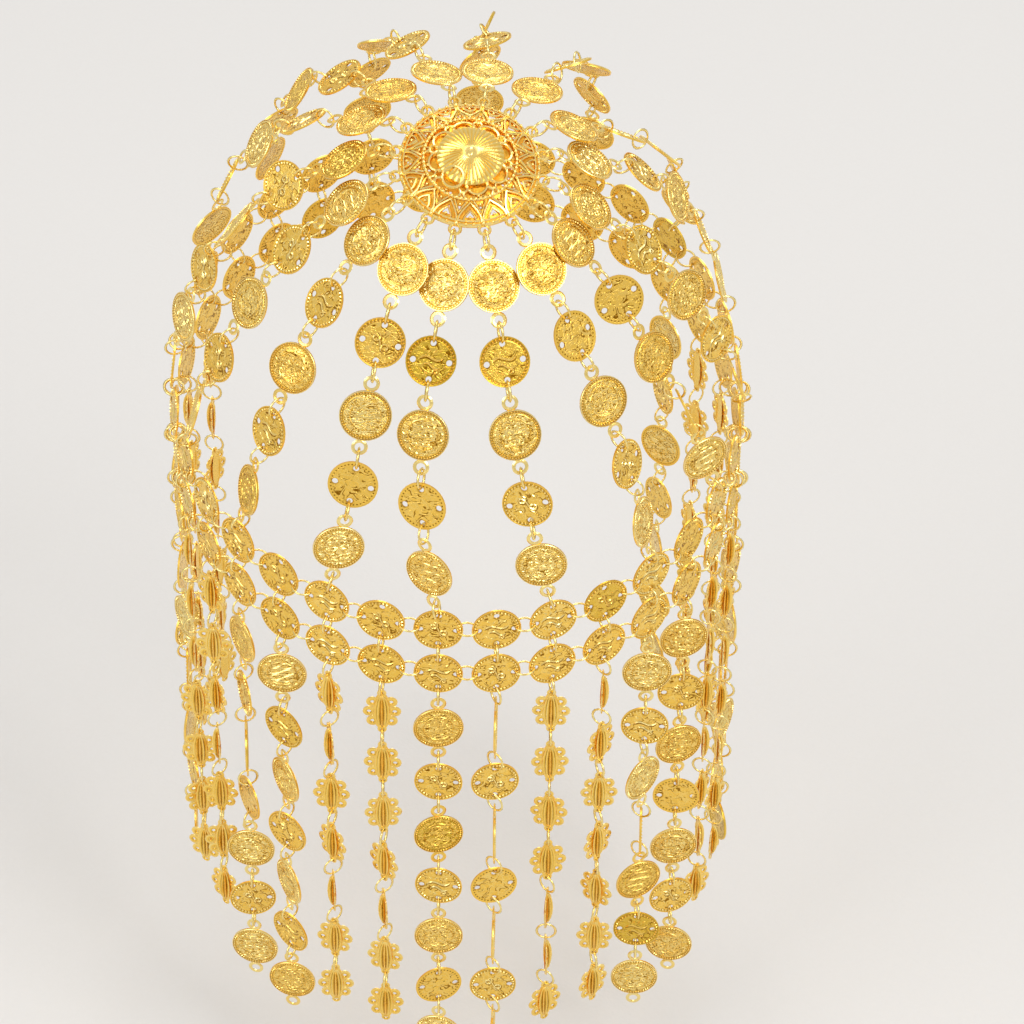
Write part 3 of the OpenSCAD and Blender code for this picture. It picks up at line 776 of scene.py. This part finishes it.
def makeMedallion(plan):
    pearls, wires = [], []
    arches, curlCount = plan["arches"], plan["curls"]
    archWire, rimAt = plan["archWire"], plan["rimAt"]
    archTurn = 2 * math.pi / arches
    for outerAt, apexAt, half, radius in ((0.0192, 0.0142, 0.46, archWire),
                                          (0.0188, 0.0162, 0.24, archWire * 0.8)):
        shoulder = (outerAt * 2 + apexAt) / 3
        turn = half * archTurn
        spots = archSpots((outerAt, turn, 0.0002), (shoulder, turn * 0.95, 0.0005), (apexAt, 0, 0.0009))
        wires += roundCopies(wire(spots, radius, roundness=1, pointed=(2,)), arches, archTurn / 2)
    spots = archSpots((0.0137, 0.3 * archTurn, 0.0006), (0.0150, 0.16 * archTurn, 0.0008),
                      (0.0168, 0, 0.0007))
    wires += roundCopies(wire(spots, archWire * 0.75, steps=3, pointed=(2,)), arches)
    for at, turn, size in ((rimAt, 0, 0.00065), (rimAt, 0.36, 0.0004), (rimAt, -0.36, 0.0004),
                           (0.0141, 0.5, 0.0005), (0.0146, 0, 0.00042), (0.0178, 0.5, 0.00045)):
        pearls += roundCopies(pearl(at, size, onShell(at, 0, 0.0006)[2]), arches, turn * archTurn)
    pearls += roundCopies(pearl(plan["ringAt"], 0.00056, 0.0038), plan["ringPearls"])
    curl = hoop(plan["curlRadius"], plan["curlWire"], 28, 5)
    curl.rotation_euler.y = math.atan2(0.0024, 0.0055)  # the slope of the shell
    curl.location = (plan["curlAt"], 0, plan["curlLevel"])
    curls = roundCopies(applyPlace(curl), curlCount, math.pi / curlCount)
    curls[-1].data.transform(Matrix.Translation((0, 0, plan["curlLift"])))  # over the rosette's edge
    wires += curls
    for side in (-1, 1):
        spoke = wire([onShell(0.0086, side * 0.05, 0.0006), onShell(0.0106, side * 0.12, 0.0014),
                      onShell(0.0120, side * 0.04, 0.0012), onShell(0.0131, side * 0.1, 0.0006)],
                     archWire * 0.8, steps=3, roundness=1)
        wires += roundCopies(spoke, curlCount)
    pearls += roundCopies(pearl(0.0116, 0.0006, 0.0042), curlCount)
    pearls += roundCopies(pearl(0.0122, 0.0005, 0.0036), curlCount, math.pi / curlCount)
    loop = hoop(plan["loopRadius"], plan["loopWire"], 16, 6)
    loop.location.x = plan["loopAt"]
    loops = roundCopies(applyPlace(loop), arches)
    hoops = [hoop(rimAt, plan["rimWire"], 96, 6, 0.0001), hoop(rimAt - 0.001, 0.0003, 96, 6, 0.0009),
             hoop(plan["ringAt"], plan["ringWire"], 96, 6, 0.0035)]
    rosette = makeRosette(plan)
    shell = finished(makeShell(plan), recessGold)
    work = raised(joined("work", wires + pearls + hoops + loops))
    work = finished(joined("filigree", [work] + rosette), castGold)
    return joined("medallion", [shell, work])


medallionModel = makeMedallion(medallion)
print("medallion modelled")

# The round shape of the cap, in metres and degrees, and how the net is laid over it

capShape = {
    "side": 0.087, "back": 0.088, "brow": 0.0775, "rise": 0.125,
    "crownTilt": 77, "crownTurn": -6.7, "browFullness": 0.7,
}
netPlan = {
    "firstCoin": 0.0374, "coins": 5, "slack": 0.0011, "browSlack": 0.0014, "rowDrop": 0.0168,
    "columns": 32, "leftTassel": -10, "rightTassel": 12, "backs": 0.3, "earShare": 0.42,
    "slides": 9, "slideShare": 0.35, "pathSteps": 40,
}
# Crown strands from left round the back to the right: the coin column that each ends on, its sway
# sideways, the turns of its coins in degrees and their lifts off the cap's shape in millimetres
strandTable = [
    (-14, 5, (-10, 20, -15, 10, -5), (0, 1, 1, 0, 0)),
    (-12, 6, (-10, 15, 30, -10, 15), (0, 1, 1, 0, 0)),
    (-10, 0, (-12, -15, 25, 10, -20), (0, 0.5, 0, 0.5, 0)),
    (-8, 0.5, (-12, 30, -22, 25, 25), (0, 0.5, 1, 0.5, 0)),
    (-6, 2.7, (-12, 0, 5, 5, -25), (0, 0, 0, 0, 1)),
    (-4, 3.2, (-12, -15, 10, -10, -25), (0.1, 0, 0, 0, 1)),
    (-2, 4.5, (-4, 25, 20, 15, 30), (0.7, 0.4, 0, 0, 0.5)),
    (0, -2.8, (-16, 15, -5, -15, -25), (0, 0.5, 0, 0, 1)),
    (2, -2, (5, 0, -5, -20, -15), (-0.6, 0, 0, 0.5, 0)),
    (4, 0.7, (0, 10, -5, 20, 30), (0.9, 0.2, 0, 0.5, 0.5)),
    (6, -2.3, (14, -30, -5, 48, -30), (0.4, 0.5, 0, 1.5, 0.5)),
    (8, -3.5, (12, -5, -25, -25, 24), (0, 0, 1, 1, 1)),
    (10, 5, (12, 10, -20, -5, -15), (0, 1, 0.5, 0, 0)),
    (12, -4.5, (12, 30, 15, -10, 10), (0.4, 1, 1, 0, 0)),
    (14, 0.5, (12, 40, 15, -15, 5), (0.4, 2, 2, 0.5, 0)),
    (16, 3.5, (0, 18, 68, 34, 0), (0, 0.8, 2, 0.8, 0)),
]
# Turns of the tassel pieces about the plumb line, in degrees from facing straight back, one row for
# each column from the left tassel to the right one
tasselTurns = [
    (-120, -100, -130, -95, -125, -110, -140),
    (-105, -125, -95, -115, -80, -110, -120),
    (-110, -80, -100, -125, -95, -105, -85),
    (-85, -105, -70, -95, -110, -80, -95),
    (-95, -90, -97, -25, -12, 5, -30),
    (-50, -15, -60, -90, -20, -5, -45),
    (-67, -79, -95, -70, -15, -5, -20),
    (-15, -47, -65, -45, -68, -50, -20),
    (-50, -85, -15, -50, -92, -20, -10),
    (-10, -12, -5, -48, -88, -20, -12),
    (-5, -12, 0, -15, -8, 5, -20),
    (80, 0, 82, 5, 80, -5, 78),
    (-10, -5, -15, 0, 75, 85, 20),
    (78, 35, -5, 33, -40, -10, 30),
    (-5, -12, 38, 80, 15, -10, -8),
    (5, -5, 10, -10, 0, 8, -15),
    (60, 85, 40, 80, 50, 88, 30),
    (65, 50, 80, 60, 90, 45, 70),
    (80, 60, 95, 75, 55, 85, 100),
    (95, 75, 90, 110, 80, 100, 70),
    (105, 90, 120, 85, 100, 75, 110),
    (115, 130, 95, 110, 125, 90, 105),
    (120, 105, 135, 115, 95, 125, 110),
]

tilt = math.radians(capShape["crownTilt"])
capMiddle = np.array([0, 0, -capShape["rise"]])
pole = np.array([0, -math.cos(tilt), math.sin(tilt)])
downBack = np.array([0, -math.sin(tilt), -math.cos(tilt)])
upright = np.array([0.0, 0.0, 1.0])
ringSize = jumpRing["diameter"]


def unit(v):
    return v / np.linalg.norm(v)


def squaredTo(v, up):
    return unit(v - v.dot(up) * up)


def depthOf(d):
    return capShape["back"] if d[1] < 0 else capShape["brow"]


def levelShare(d):
    return math.hypot(d[0] / capShape["side"], d[1] / depthOf(d))


def fullness(d):  # 2 is an ellipsoid
    return 2 + capShape["browFullness"] * max(d[1], 0) / max(math.hypot(d[0], d[1]), 1e-9)


def onCap(bearing, reach):  # the point of the cap at a bearing round the crown and an angle from it
    b, r = math.radians(bearing), math.radians(reach)
    d = math.cos(r) * pole + math.sin(r) * (math.cos(b) * downBack + math.sin(b) * np.array([1, 0, 0]))
    n = fullness(d)
    return d / (levelShare(d) ** n + (max(d[2], 0) / capShape["rise"]) ** n) ** (1 / n) + capMiddle


def outward(p):
    q = p - capMiddle
    n = fullness(q)
    level = levelShare(q) ** (n - 2)
    return unit(np.array([level * q[0] / capShape["side"] ** 2, level * q[1] / depthOf(q) ** 2,
                          (max(q[2], 0) / capShape["rise"]) ** (n - 1) / capShape["rise"]]))


def runsAlong(points):  # the length of the line up to each of its points
    return np.concatenate([[0], np.cumsum(np.linalg.norm(np.diff(points, axis=0), axis=1))])


earedReach = earedCoin["earAt"] + earedCoin["play"]
piercedReach = piercedCoin["holeAt"] + piercedCoin["play"]
beadReach = laceBead["half"] - laceBead["endLobe"] + laceBead["play"]
coinPitch = earedReach + ringSize + piercedReach
plainReaches = np.arange(0, 133, 4)  # degrees from the crown, where lengths are taken


def rowReach(bearing):  # the upper row lies a strand's length from the crown
    over = max(-math.cos(math.radians(bearing)), 0) ** 2
    length = netPlan["firstCoin"] + netPlan["coins"] * coinPitch
    length -= netPlan["slack"] + netPlan["browSlack"] * over
    return np.interp(length, runsAlong([onCap(bearing, reach) for reach in plainReaches]), plainReaches)


rowBearings = np.arange(-180, 181, 6)
rowRuns = runsAlong([onCap(b, rowReach(b)) for b in rowBearings])
rowPitch = rowRuns[-1] / netPlan["columns"]
rowMiddle = np.interp(0, rowBearings, rowRuns)


def columnPoint(column):
    bearing = np.interp((rowMiddle + (column - 1) * rowPitch) % rowRuns[-1], rowRuns, rowBearings)
    return onCap(bearing, rowReach(bearing))


columnPoints = {column: columnPoint(column) for column in range(1, netPlan["columns"] + 1)}


def upperCoin(column):
    return columnPoints[(column - 1) % netPlan["columns"] + 1]


# A stance is where a piece lies: its middle, its lengthwise direction and the way that it faces


def sideOf(stance):
    return np.cross(stance[1], stance[2])


def turned(stance, angle):
    a = math.radians(angle)
    return stance[0], stance[1], math.cos(a) * stance[2] + math.sin(a) * sideOf(stance)


def above(stance, by):
    return stance[0] + by * stance[1]


def matrixOf(stance):
    pose = Matrix([Vector(v) for v in (sideOf(stance), stance[1], stance[2])]).transposed().to_4x4()
    pose.translation = Vector(stance[0])
    return pose


def rowSide(column):
    return unit(upperCoin(column + 1) - upperCoin(column - 1))


def rowStance(column, drop, out):
    side = rowSide(column)
    face = squaredTo(out, side)
    up = unit(np.cross(face, side) + squaredTo(upright, face))
    return upperCoin(column) - drop * upright, up, face


def upperStance(column):
    return rowStance(column, 0, outward(upperCoin(column)))


def lowerStance(column):
    return rowStance(column, netPlan["rowDrop"], outward(upperCoin(column)) * np.array([1, 1, 0]))


def plumbOn(stance):
    return squaredTo(upright, stance[2])


def squareOn(stance, column):
    return unit(np.cross(stance[2], squaredTo(rowSide(column), stance[2])))


def bearingOn(stance, v):
    return math.degrees(math.atan2(v.dot(stance[1]), v.dot(sideOf(stance))))


def tiePoint(stance, way):
    return stance[0] + way * (netPlan["rowDrop"] - ringSize) / 2 * plumbOn(stance)


def ringBetween(a, b, outA, outB, shareA=0.5):  # shareA: how much the ring faces as piece A does
    along = unit(a - b)
    facing = -outB if outA.dot(outB) < 0 else outB
    return (a + b) / 2, along, squaredTo(shareA * outA + (1 - shareA) * facing, along)


crownPoint = onCap(0, 0)
crownOut = outward(crownPoint)
crownStance = (crownPoint - medallion["seat"] * crownOut, squaredTo(upright, crownOut), crownOut)


def loopBearing(column):
    return math.radians(360 / netPlan["columns"] * (column - 1) + capShape["crownTurn"])


def loopAnchor(column):
    b = loopBearing(column)
    way = math.sin(b) * sideOf(crownStance) - math.cos(b) * crownStance[1]
    return crownStance[0] + (medallion["loopAt"] + medallion["loopPlay"]) * way


def isEared(n):
    return n % 2 == 0


def reachOf(n):
    return earedReach if isEared(n) else piercedReach


def angleFrom(p):  # bearing round the crown and angle from it
    q = p - capMiddle
    bearing = math.degrees(math.atan2(q[0], q.dot(downBack)))
    return bearing, math.degrees(math.acos(q.dot(pole) / np.linalg.norm(q)))


def strandPath(start, end, sway):
    (fromBearing, near), (toBearing, far) = angleFrom(start), angleFrom(end)
    span = (toBearing - fromBearing + 180) % 360 - 180
    steps = netPlan["pathSteps"]
    return [onCap(fromBearing + span * t + sway * math.sin(math.pi * t), near + (far - near) * t)
            for t in np.arange(steps + 1) / steps]


def strandStances(column, sway, turns, lifts):
    row = upperStance(column)
    start, end = loopAnchor(column), row[0] + piercedReach * squareOn(row, column)
    path = np.array(strandPath(start, end, sway))
    runs = runsAlong(path)
    coins = netPlan["coins"]
    chain = ringSize + earedReach + coins * coinPitch - piercedReach
    places = [(ringSize + earedReach + n * coinPitch) * runs[-1] / chain for n in range(coins)]
    for again in range(netPlan["slides"]):  # the coins slide along the path until their rings agree
        middles = []
        for place, lift in zip(places, lifts):
            spot = np.array([np.interp(place, runs, path[:, axis]) for axis in range(3)])
            middles.append(spot + lift * 0.001 * outward(spot))
        line = [start] + middles + [end]
        stances = []
        for n in range(coins):
            up = unit(line[n] - line[n + 2])
            stances.append(turned((middles[n], up, squaredTo(outward(middles[n]), up)), turns[n]))
        tops = [above(stances[n], reachOf(n)) for n in range(coins)] + [end]
        feet = [start] + [above(stances[n], -reachOf(n)) for n in range(coins)]
        spans = [np.linalg.norm(foot - top) for foot, top in zip(feet, tops)]
        places = [places[n] + netPlan["slideShare"] * (spans[n + 1] - spans[n]) for n in range(coins)]
    outs = [crownStance[2]] + [stance[2] for stance in stances] + [row[2]]
    earShare = netPlan["earShare"]
    shares = [0.5] + [earShare if isEared(n) else 1 - earShare for n in range(coins)]
    rings = [ringBetween(feet[n], tops[n], outs[n], outs[n + 1], shares[n]) for n in range(coins + 1)]
    return stances, rings


# Each node of the solid model is replaced by one piece, joined from copies of the models

chance = np.random.default_rng(11)


def laid(model, stance, kind):  # a copy at its stance, with its own tone
    piece = copyOf(model, matrixOf(stance))
    tone = piece.data.attributes.new("tone", "FLOAT", "POINT")
    darkest, lightest = plating["tones"][kind]
    value = darkest + (lightest - darkest) * chance.uniform(0, 1) ** plating["lightness"]
    tone.data.foreach_set("value", np.full(len(piece.data.vertices), value, np.float32))
    return piece


def setDown(name, pieces):
    piece = joined(name, pieces)
    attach(piece, "root")
    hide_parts(name)


def earedAt(stance):
    model = earedModels[chance.integers(len(earedModels))]
    up = stance[1] * chance.choice([-1, 1])
    return laid(model, (stance[0], up, stance[2]), "coin")


def piercedAt(stance):
    model = piercedModels[chance.integers(len(piercedModels))]
    if chance.random() < netPlan["backs"]:  # turned round to show its back
        return laid(model, (stance[0], stance[1], -stance[2]), "back")
    return laid(model, stance, "coin")


def coinAt(n, stance):
    return earedAt(stance) if isEared(n) else piercedAt(stance)


def layRow(name, stanceOf, first, last):
    pieces = []
    for column in range(first, last + 1):
        here, beside = stanceOf(column), stanceOf(column + 1)
        way = beside[0] - here[0]
        reach = (np.linalg.norm(way) - ringSize) / 2 * unit(way)
        up = bearingOn(here, squareOn(here, column) if stanceOf is upperStance else plumbOn(here))
        down = bearingOn(here, -plumbOn(here))
        dress = dressModels[chance.integers(len(dressModels))]
        model = makePiercedCoin(blankModel, dress, (0, up, 180, down))
        pieces.append(laid(model, here, "row"))
        bpy.data.objects.remove(model)
        ring = ringBetween(here[0] + reach, beside[0] - reach, here[2], beside[2])
        pieces.append(laid(ringModel, ring, "ring"))
    setDown(name, pieces)


def layTassel(column):
    number = column - netPlan["leftTassel"]
    hasCoins = column % 4 < 2  # two columns of coins and two of beads by turns
    rowCoin = lowerStance(column)
    hook = tiePoint(rowCoin, -1)
    firstReach = earedReach if hasCoins else beadReach
    pitch = coinPitch if hasCoins else 2 * beadReach + ringSize
    top = hook[2] - ringSize - firstReach
    stances, pieces = [], []
    for n, angle in enumerate(tasselTurns[number]):
        a = math.radians(angle)
        middle = np.array([rowCoin[0][0], rowCoin[0][1], top - n * pitch])
        stances.append((middle, upright, np.array([math.sin(a), -math.cos(a), 0])))
        pieces.append(coinAt(n, stances[n]) if hasCoins else laid(beadModel, stances[n], "bead"))
    ring = ringBetween(hook, above(stances[0], firstReach), rowCoin[2], stances[0][2], shareA=0.7)
    pieces.append(laid(ringModel, ring, "ring"))
    for n in range(len(stances) - 1):
        reaches = (reachOf(n), reachOf(n + 1)) if hasCoins else (beadReach, beadReach)
        ring = ringBetween(above(stances[n], -reaches[0]), above(stances[n + 1], reaches[1]),
                           stances[n][2], stances[n + 1][2])
        pieces.append(laid(ringModel, ring, "ring"))
    kind = "coin" if hasCoins else "bead"
    setDown(f"{kind}_tassel_{number + 1:02d}", pieces)


medallionModel.data.transform(Matrix.Rotation(loopBearing(0) - math.pi / 2, 4, "Z"))
setDown("crown_medallion", [laid(medallionModel, crownStance, "medallion")])
for level, stanceOf in (("upper", upperStance), ("lower", lowerStance)):
    layRow(level + "_row_left", stanceOf, -15, 0)
    layRow(level + "_row_right", stanceOf, 1, 16)
ties = []
for column in range(1, netPlan["columns"] + 1):
    upper, lower = upperStance(column), lowerStance(column)
    ring = ringBetween(tiePoint(upper, -1), tiePoint(lower, 1), upper[2], lower[2])
    ties.append(laid(ringModel, ring, "ring"))
setDown("row_ties", ties)
print("crown and rows laid")
for number, row in enumerate(strandTable, 1):
    stances, rings = strandStances(*row)
    pieces = [coinAt(n, stance) for n, stance in enumerate(stances)]
    pieces += [laid(ringModel, ring, "ring") for ring in rings]
    setDown(f"crown_strand_{number:02d}", pieces)
for column in range(netPlan["leftTassel"], netPlan["rightTassel"] + 1):
    layTassel(column)
print("strands and tassels laid")

models = [ringModel, beadModel, blankModel, medallionModel] + earedModels + dressModels + piercedModels
for model in models:
    bpy.data.objects.remove(model)

# Plain pale floor and soft studio light

studio = {
    "floorLevel": -0.335, "floorSize": 8, "floorTones": ((0.65, 0.638, 0.625, 1), (0.67, 0.66, 0.65, 1)),
    "sky": (1.0, 0.98, 0.95, 1), "skyStrength": 0.68,
    "lightsAim": (0, 0, -0.12),
    "lights": [  # place, size and power of each soft light
        ((0.9, -1.1, 1.3), 0.85, 16),
        ((-1.3, -0.8, 0.9), 1.0, 9),
        ((0.2, 0.9, 1.2), 0.9, 9),
    ],
}


def makeFloor(plan):
    floor = added(bpy.ops.mesh.primitive_plane_add, size=plan["floorSize"],
                  location=(0, 0, plan["floorLevel"]))
    floor.name = "floor"
    shader = Shader("floorPaper")
    grain = shader.noise(shader.objectPlace(), 900, 2)
    colour = shader.mix(grain, *plan["floorTones"])
    floor.data.materials.append(shader.finish(colour, 0.8, grain, 0.00005, 0.0))


def makeLight(place, size, power, aim):
    bpy.ops.object.light_add(type="AREA", location=place)
    light = bpy.context.object
    light.data.size = size
    light.data.energy = power
    light.rotation_euler = (Vector(aim) - Vector(place)).to_track_quat("-Z", "Y").to_euler()


makeFloor(studio)
for place, size, power in studio["lights"]:
    makeLight(place, size, power, studio["lightsAim"])
sky = bpy.data.worlds.new("sky")
bpy.context.scene.world = sky
sky.use_nodes = True
skyInputs = sky.node_tree.nodes["Background"].inputs
skyInputs["Color"].default_value = studio["sky"]
skyInputs["Strength"].default_value = studio["skyStrength"]
bpy.context.scene.view_settings.view_transform = "Standard"
print("floor and lights set")
